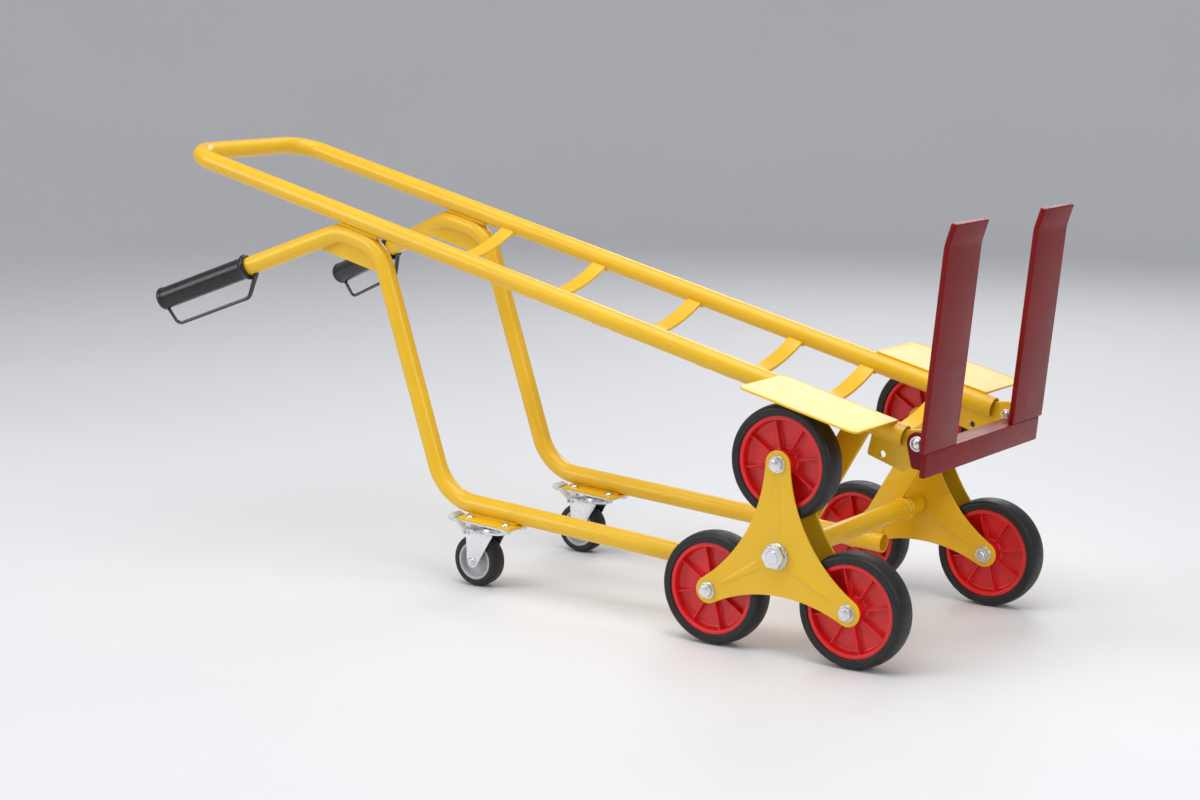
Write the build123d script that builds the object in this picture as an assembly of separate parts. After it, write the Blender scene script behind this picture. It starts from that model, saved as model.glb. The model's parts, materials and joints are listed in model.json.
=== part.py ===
from build123d import *
from math import atan2, cos, degrees, pi, radians, sin, sqrt, tan
import os

# Stair-climbing hand trolley, standing on two swivel casters and two three-wheel stars.
# Sizes in millimetres. The frame is first drawn lying level: x forward (towards the
# lifting fork), y sideways, z square to the rails, with the star axle at 0, 0, 0.
# It is then tilted about the star axle, and set on the floor.

# --- stance -------------------------------------------------------------
frame_tilt = 14.0             # rails above the floor, rising to the rear
wheel_radius = 80.0
star_arm = 126.5              # star axle to wheel axle
axle_height = wheel_radius + star_arm / 2
centre_shift = 476.60         # star axle ahead of the middle of the bounding box

# --- frame tubes --------------------------------------------------------
tube_radius = 14.5
tube_wall = 2.0
rail_side = 135.0             # rail centre from the middle plane
rail_rise = 195.5             # rail centre above the star axle
rail_front = 98.0
loop_rear = -1257.0
loop_bend = 48.0
support_gap = 0.2             # weld gap between rail and support tube
handle_end = (-1189.0, 217.0, -25.0)
handle_foot = -918.0
leg_top = -837.0
leg_foot = (-623.0, -171.0)
lower_run_end = (-16.0, -62.0)
handle_bend = 60.0
leg_bend = 80.0

# --- bowed rungs --------------------------------------------------------
rung_places = [18.0, -106.0, -232.0, -418.0, -602.0, -788.0]
rung_width = 25.0
rung_thick = 5.0
rung_drop = 46.0
rung_end_rise = 195.0

# --- plates on the frame -------------------------------------------------
gusset_thick = 4.0
guard_thick = 3.0
guard_front = 82.0
guard_rear = -104.0
guard_inner = 134.0
guard_outer = 254.0
guard_corner = 12.0
bracket_thick = 6.0
bracket_hole = (72.5, 160.5)
bracket_hole_radius = 5.0
strut_width = 38.0
strut_thick = 6.0

# --- axle and stars -----------------------------------------------------
axle_radius = 10.0
beam_half = 178.0
running_gap = 0.05
star_inner = 181.5            # inner face of the inner plate
star_plate = 3.0
wheel_side = 205.5            # wheel middle from the middle plane
wheel_width = 38.0
star_outer = 2 * wheel_side - star_inner
star_waist = 56.0             # star centre to the middle of a hollow edge
star_tip = 19.0
star_hub_radius = 20.0
wheel_bolt_radius = 6.0

# --- wheels --------------------------------------------------------------
rim_radius = 65.0
rim_lip = 59.0
rim_web = 7.0
rim_width = 33.0
rim_hub_radius = 17.0
rim_ribs = 8
tyre_crown = 3.0

# --- lifting fork --------------------------------------------------------
fork_pivot = (121.5, 194.2)
fork_lean = 6.1               # fork ahead of upright
pivot_bolt_radius = 5.0
ear_thick = 6.0
ear_inner = 139.0
ear_radius = 16.0
tine_inner = 87.0
tine_outer = 183.0
tine_face = 22.0              # load face ahead of the pivot
tine_thick = 8.0
tine_foot = -3.0
tine_bend = 274.0
tine_tip = 305.0
tine_kick = 12.0              # tip bend, degrees
crossbar_foot = -37.0
crossbar_half = 174.0
flange_reach = 20.0           # crossbar's top flange, behind its face
flange_thick = 6.0
flange_half = 118.0

# --- casters --------------------------------------------------------------
caster_axle_x = -581.0        # caster axle from the star axle
caster_side = 136.0
caster_radius = 40.0
caster_width = 29.0
caster_trail = 28.0
caster_top = 104.8            # top of the caster's own plate above the foot of its wheel
caster_plate = 3.0
pad_thick = 4.0
pad_length = 100.0
pad_width = 66.0
caster_bolt_x = 33.7
caster_bolt_y = 21.0
caster_bolt_radius = 4.0
fork_leg_gap = 33.0
fork_leg = 2.5
crown_top = 88.8
kingpin_radius = 6.0
raceway_bottom = 96.8
raceway_radius = 19.0
housing_radius = 24.0
caster_axle_radius = 4.0
pedal_pivot = (-38.0, 83.5)   # behind the swivel axis, above the foot of the wheel
pedal_pin_radius = 2.5

# --- grips ------------------------------------------------------------------
grip_length = 172.0
grip_radius = 17.5
grip_end_wall = 4.0
guard_wire = 2.75
guard_reach = 47.0            # hand guard from the grip's centre line


def framed(shape):
    """Tilt a frame piece about the star axle and set it at its height."""
    return Pos(centre_shift, 0, axle_height) * Rot(0, frame_tilt, 0) * shape


def standing(shape):
    """Place a piece that stays level, drawn about the star axle at floor height."""
    return Pos(centre_shift, 0, 0) * shape


def mirrored(shape):
    return mirror(shape, about=Plane.XZ)


def swept(path, radius):
    section = (path ^ 0) * Circle(radius)
    return sweep(section, path=path)


def rod(start, end, radius):
    """Cylinder between two points."""
    line = Vector(*end) - Vector(*start)
    plane = Plane(origin=start, z_dir=line)
    return plane * Cylinder(radius, line.length, align=(Align.CENTER, Align.CENTER, Align.MIN))


def across(x, z, y_from, y_to, radius):
    """Cylinder along y."""
    return rod((x, y_from, z), (x, y_to, z), radius)


def side_plate(outline, y_from, y_to):
    """Extrude a face drawn in x and z sideways, from y_from to y_to."""
    low = min(y_from, y_to)
    face = Plane(origin=(0, low, 0), x_dir=(1, 0, 0), z_dir=(0, 1, 0)) * mirror(outline, about=Plane.XZ)
    return extrude(face, amount=abs(y_to - y_from), dir=(0, 1, 0))


def hex_head(x, z, y_from, y_to, flats):
    low = min(y_from, y_to)
    plane = Plane(origin=(x, low, z), x_dir=(1, 0, 0), z_dir=(0, 1, 0))
    head = extrude(plane * RegularPolygon(flats / sqrt(3), 6), amount=abs(y_to - y_from), dir=(0, 1, 0))
    return head


# --- frame ----------------------------------------------------------------

def rail_path():
    return FilletPolyline(
        (rail_front, -rail_side, rail_rise),
        (loop_rear, -rail_side, rail_rise),
        (loop_rear, rail_side, rail_rise),
        (rail_front, rail_side, rail_rise),
        radius=loop_bend,
    )


def back_frame():
    path = rail_path()
    return swept(path, tube_radius) - swept(path, tube_radius - tube_wall)


def rail_solid(side):
    return rod((rail_front, side * rail_side, rail_rise), (loop_rear, side * rail_side, rail_rise), tube_radius)


def support_path():
    under_rail = rail_rise - 2 * tube_radius - support_gap
    return FilletPolyline(
        handle_end,
        (handle_foot, rail_side, under_rail),
        (leg_top, rail_side, under_rail),
        (leg_foot[0], rail_side, leg_foot[1]),
        (lower_run_end[0], rail_side, lower_run_end[1]),
        radius=[handle_bend, handle_bend, leg_bend],
    )


def support_solid():
    return swept(support_path(), tube_radius)


def support_tube():
    return support_solid() - swept(support_path(), tube_radius - tube_wall)


def rung(place):
    """Flat bar bowed away from the load, welded between the rails."""
    bow = (rail_side**2 + rung_drop**2) / (2 * rung_drop)
    centre = rung_end_rise - rung_drop + bow
    plane = Plane(origin=(place - rung_width / 2, 0, centre), x_dir=(0, 1, 0), z_dir=(1, 0, 0))
    ring = Circle(bow + rung_thick / 2) - Circle(bow - rung_thick / 2)
    window = Pos(0, -bow) * Rectangle(2 * rail_side, 2 * (rung_drop + rung_thick))
    bar = extrude(plane * (ring & window), amount=rung_width)
    return bar - rail_solid(1) - rail_solid(-1)


def gusset():
    """Corner plate below the bend where handle, rail and leg meet."""
    outline = Polygon(
        (handle_foot + 6, rail_rise - 2 * tube_radius),
        (leg_top - 6, rail_rise - 2 * tube_radius),
        (leg_top + 30, 127.0),
        (handle_foot - 60, 127.0),
        align=None,
    )
    plate = side_plate(outline, rail_side - gusset_thick / 2, rail_side + gusset_thick / 2)
    return plate - support_solid()


def wheel_guard():
    outline = Rectangle(guard_front - guard_rear, guard_outer - guard_inner)
    middle = ((guard_front + guard_rear) / 2, (guard_outer + guard_inner) / 2)
    outline = Pos(*middle) * outline
    outer_corners = outline.vertices().group_by(Axis.Y)[-1]
    outline = fillet(outer_corners, guard_corner)
    plane = Plane.XY.offset(rail_rise + tube_radius)
    return extrude(plane * outline, amount=guard_thick)


def fork_bracket():
    """Plate below and ahead of the rail's end, with the fork pivot and a spare hole."""
    corner = 4.0
    pivot_eye = Pos(*fork_pivot) * Circle(18.0)
    low_front = Pos(107.0, 152.0) * Circle(corner)
    low_rear = Pos(54.0, 156.0) * Circle(corner)
    top_rear = Pos(54.0, 186.0) * Circle(corner)
    rims = ShapeList()
    for disc in (pivot_eye, low_front, low_rear, top_rear):
        rims += disc.edges()
    outline = make_hull(rims)
    outline -= Pos(*bracket_hole) * Circle(bracket_hole_radius)
    outline -= Pos(*fork_pivot) * Circle(pivot_bolt_radius + 0.3)
    half = bracket_thick / 2
    return side_plate(outline, rail_side - half, rail_side + half) - rail_solid(1)


def side_strut():
    """Flat bar from the rail, past the back of the axle beam, to the lower tube."""
    top = Vector(28.0, rail_rise)
    foot = Vector(-47.0, -62.0)
    lean = degrees(atan2(top.X - foot.X, top.Y - foot.Y))
    length = (top - foot).length
    bar = Pos((top.X + foot.X) / 2, (top.Y + foot.Y) / 2) * Rot(0, 0, -lean) * Rectangle(strut_width, length)
    half = strut_thick / 2
    plate = side_plate(bar, rail_side - half, rail_side + half)
    plate -= rail_solid(1)
    plate -= support_solid()
    return plate - across(0, 0, -beam_half, beam_half, tube_radius)


def axle_beam():
    bore = axle_radius + 0.1
    return across(0, 0, -beam_half, beam_half, tube_radius) - across(0, 0, -beam_half, beam_half, bore)


# --- handles ----------------------------------------------------------------

def handle_direction():
    start = Vector(handle_foot, rail_side, rail_rise - 2 * tube_radius - support_gap)
    return (Vector(*handle_end) - start).normalized()


def on_handle(along, reach):
    """Point beside the handle: along from its end, reach below its centre line."""
    line = handle_direction()
    below = line.cross(Vector(0, 1, 0)).normalized()
    if below.Z > 0:
        below = below * -1
    return Vector(*handle_end) + line * along + below * reach


def grip():
    line = handle_direction()
    end = Vector(*handle_end) + line * grip_end_wall
    plane = Plane(origin=end, z_dir=line * -1)
    low = (Align.CENTER, Align.CENTER, Align.MIN)
    body = Cylinder(grip_radius, grip_length, align=low)
    body = chamfer(body.edges().group_by(Axis.Z)[0], 2.5)
    body += Pos(0, 0, grip_length - 6) * Cylinder(grip_radius + 4, 6, align=low)
    body += Pos(0, 0, 10) * Cylinder(grip_radius + 1.5, 8, align=low)
    groove_count = 11
    for i in range(groove_count):
        ring_z = 34 + i * 11
        ring = Cylinder(grip_radius + 1, 3, align=low) - Cylinder(grip_radius - 1, 3, align=low)
        body -= Pos(0, 0, ring_z) * ring
    body -= Pos(0, 0, grip_end_wall) * Cylinder(tube_radius, grip_length, align=low)
    return plane * body


def hand_guard():
    """Wire loop below the grip, from the tube ahead of the grip to the grip's end."""
    path = FilletPolyline(
        on_handle(-grip_length - 6, tube_radius - 3),
        on_handle(-grip_length + 20, guard_reach),
        on_handle(-14, guard_reach),
        on_handle(-4, grip_radius - 1.5),
        radius=12.0,
    )
    wire = swept(path, guard_wire)
    line = handle_direction()
    far_end = Vector(*handle_end) + line * 20
    keep_out = rod(tuple(Vector(*handle_end) - line * 250), tuple(Vector(*handle_end) - line * 100), tube_radius)
    grip_core = rod(tuple(Vector(*handle_end) - line * 100), tuple(far_end), grip_radius + 1.5)
    return wire - keep_out - grip_core


# --- stars ---------------------------------------------------------------------

def arm_angle(arm):
    """Arm 1 points up, arms 2 and 3 stand on the floor, ahead and behind."""
    return 90.0 - 120.0 * (arm - 1)


def arm_tip(arm):
    return (star_arm * cos(radians(arm_angle(arm))), star_arm * sin(radians(arm_angle(arm))))


def star_outline():
    """Three arms with round tips, joined by hollow arcs that meet the tips smoothly."""
    half = star_arm / 2
    reach = star_arm * cos(pi / 6)
    hollow = (reach**2 + (star_waist - half)**2 - star_tip**2) / (2 * (star_tip - star_waist + half))
    outline = RegularPolygon(star_arm + 2 * star_tip, 3, rotation=90)
    for arm in (1, 2, 3):
        facing = radians(arm_angle(arm) + 180)
        away = hollow + star_waist
        outline -= Pos(away * cos(facing), away * sin(facing)) * Circle(hollow)
    outline = outline & Circle(star_arm)
    for arm in (1, 2, 3):
        outline += Pos(*arm_tip(arm)) * Circle(star_tip)
    return outline


def star_plate_at(y_from, embossed_side):
    """Pressed plate, with a ridge along each arm."""
    outline = star_outline()
    for arm in (1, 2, 3):
        outline -= Pos(*arm_tip(arm)) * Circle(wheel_bolt_radius + 0.2)
    outline -= Circle(axle_radius + 0.3)
    plate = side_plate(outline, y_from, y_from + star_plate)
    ridge_y = y_from + star_plate if embossed_side > 0 else y_from - 1.5
    for arm in (1, 2, 3):
        facing = radians(arm_angle(arm))
        x_mid = 62.0 * cos(facing)
        z_mid = 62.0 * sin(facing)
        bar = Pos(x_mid, z_mid) * Rot(0, 0, arm_angle(arm)) * SlotOverall(66, 9)
        plate += side_plate(bar, ridge_y, ridge_y + 1.5)
    return plate


def star_plate_outer():
    return star_plate_at(star_outer - star_plate, 1)


def star_plate_inner():
    return star_plate_at(star_inner, -1)


def star_hub():
    """Sleeve between the plates that turns on the axle."""
    y_from = star_inner + star_plate
    y_to = star_outer - star_plate
    return across(0, 0, y_from, y_to, star_hub_radius) - across(0, 0, y_from, y_to, axle_radius + running_gap)


def wheel_bolt(arm):
    """Bolt through both plates, with washers, a hexagon head outside and a nut inside."""
    x, z = arm_tip(arm)
    bolt = across(x, z, star_inner - 9, star_outer + 2, wheel_bolt_radius)
    bolt += across(x, z, star_outer, star_outer + 2, 12.0)
    bolt += hex_head(x, z, star_outer + 2, star_outer + 9, 18.0)
    bolt += across(x, z, star_inner - 2, star_inner, 12.0)
    bolt += hex_head(x, z, star_inner - 9, star_inner - 2, 18.0)
    return bolt


def wheel_bolts():
    return [wheel_bolt(arm) for arm in (1, 2, 3)]


def main_axle():
    end = star_outer + 14
    return across(0, 0, -end, end, axle_radius)


def axle_nut(side):
    """Washer and nut on the end of the main axle."""
    face = star_outer + 0.4
    washer = across(0, 0, face, face + 2.6, 18.5) - across(0, 0, face, face + 2.6, axle_radius)
    nut = hex_head(0, 0, face + 2.6, face + 12, 30.0) - across(0, 0, face, face + 14, axle_radius)
    pair = [washer, nut]
    return pair if side > 0 else [mirrored(piece) for piece in pair]


# --- wheels ----------------------------------------------------------------------

def turned(profile, x, z, y_mid):
    """Turn a closed profile, drawn as radius and width, about the wheel axle."""
    face = Plane.XZ * profile
    wheel = revolve(face, Axis.Z)
    return Pos(x, y_mid, z) * Rot(90, 0, 0) * wheel


def wheel_rim(arm):
    """Moulded rim: hub, recessed web, ribs and a lipped band for the tyre."""
    half = rim_width / 2
    hub_half = (star_outer - star_inner) / 2 - star_plate - 0.4
    profile = Polygon(
        (wheel_bolt_radius + running_gap, -hub_half),
        (rim_hub_radius, -hub_half),
        (rim_hub_radius + 1.5, -rim_web / 2),
        (rim_lip - 1.5, -rim_web / 2),
        (rim_lip, -half),
        (rim_radius, -half),
        (rim_radius, half),
        (rim_lip, half),
        (rim_lip - 1.5, rim_web / 2),
        (rim_hub_radius + 1.5, rim_web / 2),
        (rim_hub_radius, hub_half),
        (wheel_bolt_radius + running_gap, hub_half),
        align=None,
    )
    x, z = arm_tip(arm)
    rim = turned(profile, x, z, wheel_side)
    rib_low = rim_hub_radius - 1.0
    rib_high = rim_lip - 0.2
    rib_depth = rim_width / 2 - 5
    for i in range(rim_ribs):
        turn = 360.0 * i / rim_ribs + 12.0
        rib = Box(rib_high - rib_low, 2 * rib_depth, 3.0)
        rib = Pos(x, wheel_side, z) * Rot(0, turn, 0) * Pos((rib_high + rib_low) / 2, 0, 0) * rib
        rim += rib
    return rim


def tyre(arm):
    """Solid rubber tyre with a gently crowned tread and round shoulders."""
    half = wheel_width / 2
    shoulder = 8.0
    shoulder_width = 6.0
    profile = Polyline(
        (rim_radius, -half + 1.5),
        (rim_radius + 3, -half),
        (wheel_radius - shoulder, -half),
    )
    crown = ThreePointArc(
        (wheel_radius - tyre_crown, -half + shoulder_width),
        (wheel_radius, 0),
        (wheel_radius - tyre_crown, half - shoulder_width),
    )
    low_shoulder = Line(profile @ 1, crown @ 0)
    high_edge = (wheel_radius - shoulder, half)
    high_shoulder = Line(crown @ 1, high_edge)
    back = Polyline(high_edge, (rim_radius + 3, half), (rim_radius, half - 1.5), (rim_radius, -half + 1.5))
    outline = make_face([profile, low_shoulder, crown, high_shoulder, back])
    corners = outline.vertices().filter_by(lambda v: v.X > rim_radius + 4)
    outline = fillet(corners, 3.0)
    x, z = arm_tip(arm)
    return turned(outline, x, z, wheel_side)


# --- lifting fork -----------------------------------------------------------------

def forked(shape):
    """Place a fork piece drawn about its pivot: z up the tines, x away from the load."""
    pivot = framed(Pos(fork_pivot[0], 0, fork_pivot[1]))
    return Pos(*pivot.position) * Rot(0, fork_lean, 0) * shape


def tine():
    """Flat tine whose tip is bent away from the load."""
    back = tine_face + tine_thick
    kick = tan(radians(tine_kick)) * (tine_tip - tine_bend)
    outline = Polygon(
        (tine_face, tine_foot),
        (back, tine_foot),
        (back, tine_bend),
        (back + kick, tine_tip),
        (tine_face + kick, tine_tip),
        (tine_face, tine_bend),
        align=None,
    )
    plate = side_plate(outline, tine_inner, tine_outer)
    tip_edges = plate.edges().filter_by(lambda e: e.center().Z > tine_tip - 1 and e.length < 2 * tine_thick)
    return fillet(tip_edges, 4.0)


def fork_crossbar():
    """Angle bar across the foot of the tines, with an ear on each side for the pivot bolts."""
    bar = Pos(tine_face + tine_thick / 2, 0, (crossbar_foot + tine_foot) / 2) * Box(
        tine_thick, 2 * crossbar_half, tine_foot - crossbar_foot)
    bar += Pos(tine_face - flange_reach / 2, 0, tine_foot - flange_thick / 2) * Box(
        flange_reach, 2 * flange_half, flange_thick)
    ear = side_plate(ear_outline(), ear_inner, ear_inner + ear_thick)
    return bar + ear + mirrored(ear)


def ear_outline():
    corner = 5.0
    rims = ShapeList()
    rims += Circle(ear_radius).edges()
    rims += (Pos(-1.0, crossbar_foot + 2 + corner) * Circle(corner)).edges()
    rims += (Pos(tine_face - 2, crossbar_foot + 2 + 2) * Circle(2.0)).edges()
    rims += (Pos(tine_face - 2, ear_radius) * Circle(2.0)).edges()
    outline = make_hull(rims)
    outline += Pos(tine_face - 2, (crossbar_foot + ear_radius) / 2) * Rectangle(4, ear_radius - crossbar_foot - 6)
    return outline - Circle(pivot_bolt_radius + 0.05)


def fork_pivot_bolt():
    """Bolt through ear and bracket: domed head outside, nut inside."""
    x, z = fork_pivot
    ear_face = ear_inner + ear_thick
    plate_face = rail_side - bracket_thick / 2
    shank = across(x, z, plate_face - 9, ear_face + 0.3, pivot_bolt_radius)
    washer = across(x, z, ear_face + 0.3, ear_face + 1.8, 10.5)
    nut = hex_head(x, z, plate_face - 7, plate_face, 15.0)
    dome = Pos(x, ear_face + 1.8, z) * Rot(-90, 0, 0) * dome_head(8.0, 5.0)
    spacer = across(x, z, rail_side + bracket_thick / 2, ear_inner - 0.3, 9.0)
    return shank + washer + nut + dome + spacer


def dome_head(radius, height):
    ball = (radius**2 + height**2) / (2 * height)
    dome = Pos(0, 0, height - ball) * Sphere(ball)
    return dome & Cylinder(radius, height, align=(Align.CENTER, Align.CENTER, Align.MIN))


# --- casters -------------------------------------------------------------------------

def caster_lean():
    """The lower tube's slope, which the pads and casters follow."""
    run = degrees(atan2(lower_run_end[1] - leg_foot[1], lower_run_end[0] - leg_foot[0]))
    return frame_tilt - run


def castered(shape):
    """Place a caster piece drawn about its swivel axis, above the foot of its wheel."""
    about_axle = Pos(caster_trail, 0, -caster_radius) * shape
    return standing(Pos(caster_axle_x, caster_side, caster_radius) * Rot(0, caster_lean(), 0) * about_axle)


def caster_pad():
    """Pad welded below the lower tube, with a low cradle along the weld."""
    low = (Align.CENTER, Align.CENTER, Align.MIN)
    pad = Box(pad_length, pad_width, pad_thick, align=low)
    pad = fillet(pad.edges().filter_by(Axis.Z), 6.0)
    pad += Pos(0, 0, pad_thick) * Box(pad_length - 8, 18, 4, align=low)
    for hole in caster_holes():
        pad -= Pos(*hole) * Cylinder(caster_bolt_radius + 0.2, 4 * pad_thick)
    pad = castered(Pos(0, 0, caster_top) * pad) - framed(support_solid())
    return pad.solids().sort_by(SortBy.VOLUME)[-1]


def caster_holes():
    return [(i * caster_bolt_x, j * caster_bolt_y) for i in (-1, 1) for j in (-1, 1)]


def caster_bolt(hole):
    """Domed bolt head on the pad, nut below the caster's plate."""
    below = caster_top - caster_plate
    low = (Align.CENTER, Align.CENTER, Align.MIN)
    bolt = Pos(0, 0, below - 7) * Cylinder(caster_bolt_radius, 7 + caster_plate + pad_thick, align=low)
    bolt += Pos(0, 0, caster_top + pad_thick) * dome_head(7.0, 4.5)
    bolt += Pos(0, 0, below - 6) * extrude(RegularPolygon(13 / sqrt(3), 6), amount=6)
    return castered(Pos(hole[0], hole[1], 0) * bolt)


def caster_top_plate():
    """Plate with a raceway and a bore for the kingpin."""
    low = (Align.CENTER, Align.CENTER, Align.MIN)
    plate = Box(pad_length - 8, pad_width - 4, caster_plate, align=low)
    plate = fillet(plate.edges().filter_by(Axis.Z), 6.0)
    race = caster_top - caster_plate - raceway_bottom
    plate += Pos(0, 0, -race) * Cylinder(raceway_radius, race, align=low)
    for hole in caster_holes():
        plate -= Pos(*hole) * Cylinder(caster_bolt_radius + 0.2, 4 * caster_plate)
    plate -= Pos(0, 0, -race - 1) * Cylinder(kingpin_radius + running_gap, race + caster_plate, align=low)
    return castered(Pos(0, 0, caster_top - caster_plate) * plate)


def leg_outline():
    """Side of the caster fork: crown, axle eye and pedal pivot."""
    rims = ShapeList()
    rims += (Pos(-caster_trail, caster_radius) * Circle(10.0)).edges()
    rims += (Pos(4, crown_top - 3) * Circle(3.0)).edges()
    rims += (Pos(*pedal_pivot) * Circle(5.0)).edges()
    return make_hull(rims)


def caster_fork():
    """Bent sheet fork with its raceway cover and kingpin."""
    low = (Align.CENTER, Align.CENTER, Align.MIN)
    inner = fork_leg_gap / 2
    leg = side_plate(leg_outline(), inner, inner + fork_leg)
    leg -= across(-caster_trail, caster_radius, 0, 30, caster_axle_radius)
    leg -= across(*pedal_pivot, 0, 30, pedal_pin_radius + running_gap)
    fork = leg + mirrored(leg)
    crown = Box(34, 2 * (inner + fork_leg), fork_leg, align=(Align.CENTER, Align.CENTER, Align.MAX))
    fork += Pos(-12, 0, crown_top) * crown
    fork += Pos(0, 0, crown_top - 1) * Cylinder(housing_radius, raceway_bottom - 0.4 - crown_top + 1, align=low)
    fork += Pos(0, 0, crown_top - 1) * Cylinder(kingpin_radius, caster_top - 1.4 - crown_top + 1, align=low)
    return castered(fork)


def caster_axle_bolt():
    outer = fork_leg_gap / 2 + fork_leg
    x, z = -caster_trail, caster_radius
    bolt = across(x, z, -outer - 5, outer, caster_axle_radius)
    bolt += hex_head(x, z, outer, outer + 5, 13.0)
    bolt += hex_head(x, z, -outer - 5, -outer, 13.0)
    return castered(bolt)


def caster_hub():
    """Wheel centre with a thin web between hub and band."""
    half = caster_width / 2
    hub_half = fork_leg_gap / 2 - 0.5
    bore = caster_axle_radius + running_gap
    profile = Polygon(
        (bore, -hub_half),
        (9, -hub_half),
        (10, -4),
        (24, -4),
        (25, -half + 1),
        (29, -half + 1),
        (29, half - 1),
        (25, half - 1),
        (24, 4),
        (10, 4),
        (9, hub_half),
        (bore, hub_half),
        align=None,
    )
    return castered(turned(profile, -caster_trail, caster_radius, 0))


def caster_tyre():
    inner = 29.0
    band = Pos((inner + caster_radius) / 2, 0) * Rectangle(caster_radius - inner, caster_width)
    outer = band.vertices().group_by(Axis.X)[-1]
    band = fillet(outer, 4.5)
    return castered(turned(band, -caster_trail, caster_radius, 0))


def brake_pedal():
    """Pedal hinged between the fork legs; the block below its arm is the brake shoe."""
    px, pz = pedal_pivot
    half = fork_leg_gap / 2 - 2.5
    arm = Polygon(
        (px + 3, pz + 3),
        (px - 18, pz + 6.5),
        (px - 30, pz + 15.5),
        (px - 44, pz + 19.5),
        (px - 46, pz + 15.5),
        (px - 33, pz + 11),
        (px - 21, pz + 2.5),
        (px - 15, pz - 7),
        (px - 12, pz - 7.3),
        (px - 8, pz - 1.5),
        (px, pz - 3.5),
        align=None,
    )
    pedal = side_plate(arm, -half, half)
    leg_out = fork_leg_gap / 2 + fork_leg
    pedal += across(px, pz, -leg_out - 2, leg_out + 2, pedal_pin_radius)
    return castered(pedal)


# --- every node ---------------------------------------------------------------------

def pair(pieces, name, shape):
    pieces[name + "_left"] = shape
    pieces[name + "_right"] = mirrored(shape)


def both(shape):
    return [shape, mirrored(shape)]


def all_pieces():
    pieces = {"back_frame": framed(back_frame())}
    for number, place in enumerate(rung_places, start=1):
        pieces["rung_%d" % number] = framed(rung(place))
    pair(pieces, "support_tube", framed(support_tube()))
    pair(pieces, "wheel_guard", framed(wheel_guard()))
    pair(pieces, "side_strut", framed(side_strut()))
    pair(pieces, "grip", framed(grip()))
    pair(pieces, "hand_guard", framed(hand_guard()))
    pieces["gussets"] = Compound(children=both(framed(gusset())))
    pieces["fork_brackets"] = Compound(children=both(framed(fork_bracket())))
    pieces["axle_beam"] = framed(axle_beam())
    pieces["main_axle"] = framed(main_axle())
    pieces["axle_nuts"] = Compound(children=[framed(piece) for side in (1, -1) for piece in axle_nut(side)])
    pieces["fork_pivot_bolts"] = Compound(children=both(framed(fork_pivot_bolt())))
    pieces["caster_pads"] = Compound(children=both(caster_pad()))
    pieces["caster_top_plates"] = Compound(children=both(caster_top_plate()))
    bolts = [caster_bolt(hole) for hole in caster_holes()]
    pieces["caster_bolts"] = Compound(children=bolts + [mirrored(bolt) for bolt in bolts])
    level = Pos(centre_shift, 0, axle_height)
    pair(pieces, "star_plate_outer", level * star_plate_outer())
    pair(pieces, "star_plate_inner", level * star_plate_inner())
    pair(pieces, "star_hub", level * star_hub())
    bolts = [level * bolt for bolt in wheel_bolts()]
    pieces["wheel_bolts_left"] = Compound(children=bolts)
    pieces["wheel_bolts_right"] = Compound(children=[mirrored(bolt) for bolt in bolts])
    for arm in (1, 2, 3):
        pair(pieces, "wheel_rim_%d" % arm, level * wheel_rim(arm))
        pair(pieces, "tyre_%d" % arm, level * tyre(arm))
    pair(pieces, "tine", forked(tine()))
    pieces["fork_crossbar"] = forked(fork_crossbar())
    pair(pieces, "caster_fork", caster_fork())
    pair(pieces, "caster_axle_bolt", caster_axle_bolt())
    pair(pieces, "caster_hub", caster_hub())
    pair(pieces, "caster_tyre", caster_tyre())
    pair(pieces, "brake_pedal", brake_pedal())
    return pieces


os.makedirs("parts", exist_ok=True)
pieces = all_pieces()
for name, shape in pieces.items():
    export_step(shape, "parts/" + name + ".step")
print("nodes", len(pieces))
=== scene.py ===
import bpy
import bmesh
import json
import numpy as np
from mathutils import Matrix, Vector


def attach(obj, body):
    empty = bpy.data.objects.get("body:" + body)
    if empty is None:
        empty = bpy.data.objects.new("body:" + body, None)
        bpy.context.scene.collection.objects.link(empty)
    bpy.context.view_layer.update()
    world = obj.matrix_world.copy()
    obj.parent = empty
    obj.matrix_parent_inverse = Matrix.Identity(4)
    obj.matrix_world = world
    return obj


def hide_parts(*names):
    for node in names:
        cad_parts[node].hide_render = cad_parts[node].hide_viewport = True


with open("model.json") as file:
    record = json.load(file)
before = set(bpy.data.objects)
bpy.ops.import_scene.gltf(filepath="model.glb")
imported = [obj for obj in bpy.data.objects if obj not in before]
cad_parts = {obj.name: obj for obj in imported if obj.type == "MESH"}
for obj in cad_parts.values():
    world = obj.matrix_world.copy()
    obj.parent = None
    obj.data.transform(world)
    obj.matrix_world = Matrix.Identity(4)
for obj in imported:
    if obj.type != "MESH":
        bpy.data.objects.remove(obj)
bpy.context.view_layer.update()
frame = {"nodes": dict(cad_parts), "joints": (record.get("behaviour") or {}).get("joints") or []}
print("frame loaded, nodes:", len(frame["nodes"]))

joints = {joint["name"]: joint for joint in frame["joints"]}


def jointPlace(name):  # where a joint sits at rest, in millimetres
    return np.array(joints[name]["pos_m"]) * 1000.0


# all shapes below are drawn in millimetres and turned into metres in makePiece
starPlace = jointPlace("star_spin_left")
pivotPlace = jointPlace("fork_fold")
casterAxle = jointPlace("caster_spin_left")

stance = {
    "tilt": 14.0,        # rails above the floor, rising to the rear
    "railSide": 135.0,   # rail centre from the middle
    "railRise": 195.5,   # rail centre above the star axle, square to the rails
    "tubeRadius": 14.5,
    "tubeWall": 2.0,
    "forkLean": 6.1,     # tines ahead of upright
}


# ---- places ----

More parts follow.
